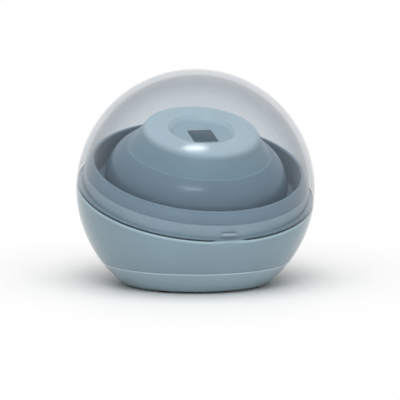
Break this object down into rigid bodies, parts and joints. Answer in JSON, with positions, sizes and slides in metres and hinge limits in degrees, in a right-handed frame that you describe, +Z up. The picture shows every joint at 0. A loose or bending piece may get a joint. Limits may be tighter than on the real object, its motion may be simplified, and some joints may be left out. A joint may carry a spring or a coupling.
{
  "type": "pacifier sterilizer case",
  "caption": "Ball-shaped portable case that sterilizes a pacifier by ultraviolet light: a smoked clear dome hinged to a grey-blue bowl on a sloping split, with a raised inner pedestal.",
  "frame": {"origin": "Middle of the four feet, on the surface that the case stands on, under the ball's centre.", "axes": "+Z up, the front with the finger notch is -Y, the hinge is at the back on +Y, +X is right as seen from the front."},
  "size_m": [0.105, 0.1083, 0.0945],
  "materials": {
    "shell": "glossy moulded plastic, grey blue",
    "tray": "satin moulded plastic, grey blue",
    "pedestal": "satin moulded plastic, pale grey blue",
    "smoked_dome": "clear polished plastic, smoked blue grey",
    "foot_rubber": "matte",
    "seal_silicone": "matte",
    "screw_steel": "zinc plated",
    "bright_steel": "polished",
    "magnet": "nickel plated",
    "quartz": "polished, dark tint",
    "polished_metal": "polished",
    "led_package": "matte with a clear lens",
    "white_board": "white solder mask",
    "heatsink": "satin",
    "green_board": "green solder mask",
    "black_plastic": "moulded",
    "white_plastic": "moulded",
    "copper": "enamelled copper",
    "battery_wrap": "foil pouch",
    "foam": "closed-cell foam",
    "lead_red": "insulated lead",
    "lead_blue": "insulated lead",
    "light_pipe": "clear moulded",
    "button": "satin moulded plastic"
  },
  "bodies": {
    "base": {"base_bowl": "shell", "bottom_cap": "shell", "rubber_feet": "foot_rubber", "closing_screws": "screw_steel", "inner_tray": "tray", "pedestal": "pedestal", "pedestal_screws": "screw_steel", "lid_seal": "seal_silicone", "catch_magnet": "magnet", "lid_sensor": "black_plastic", "hinge_pin": "bright_steel", "lamp_window": "quartz", "lamp_reflector": "polished_metal", "lamp_leds": "led_package", "lamp_board": "white_board", "lamp_heatsink": "heatsink", "lamp_screws": "screw_steel", "lamp_leads": "lead_red", "main_board": "green_board", "main_board_chips": "black_plastic", "main_board_coil": "copper", "main_board_screws": "screw_steel", "battery_cell": "battery_wrap", "battery_pad": "foam", "battery_socket": "white_plastic", "battery_leads": "lead_red", "lead_socket": "white_plastic", "sensor_leads": "lead_blue", "control_board": "green_board", "control_board_screws": "screw_steel", "control_ribbon": "white_plastic", "status_led": "led_package", "status_light": "light_pipe", "charging_shell": "bright_steel", "charging_tongue": "black_plastic", "switch_body": "black_plastic"},
    "lid": {"clear_dome": "smoked_dome", "keeper_plate": "bright_steel"},
    "button": {"switch_plunger": "white_plastic", "power_button": "button"}
  },
  "joints": [
    {"name": "lid_hinge", "type": "hinge", "parent": "base", "child": "lid", "pos_m": [0, 0.05306, 0.05864], "axis": [-1, 0, 0], "range_deg": [0, 105]},
    {"name": "button_press", "type": "slide", "parent": "base", "child": "button", "axis": [0, -1, 0], "range_m": [0, 0.0008], "stiffness_N_per_m": 1500, "springref_m": -0.0003}
  ]
}
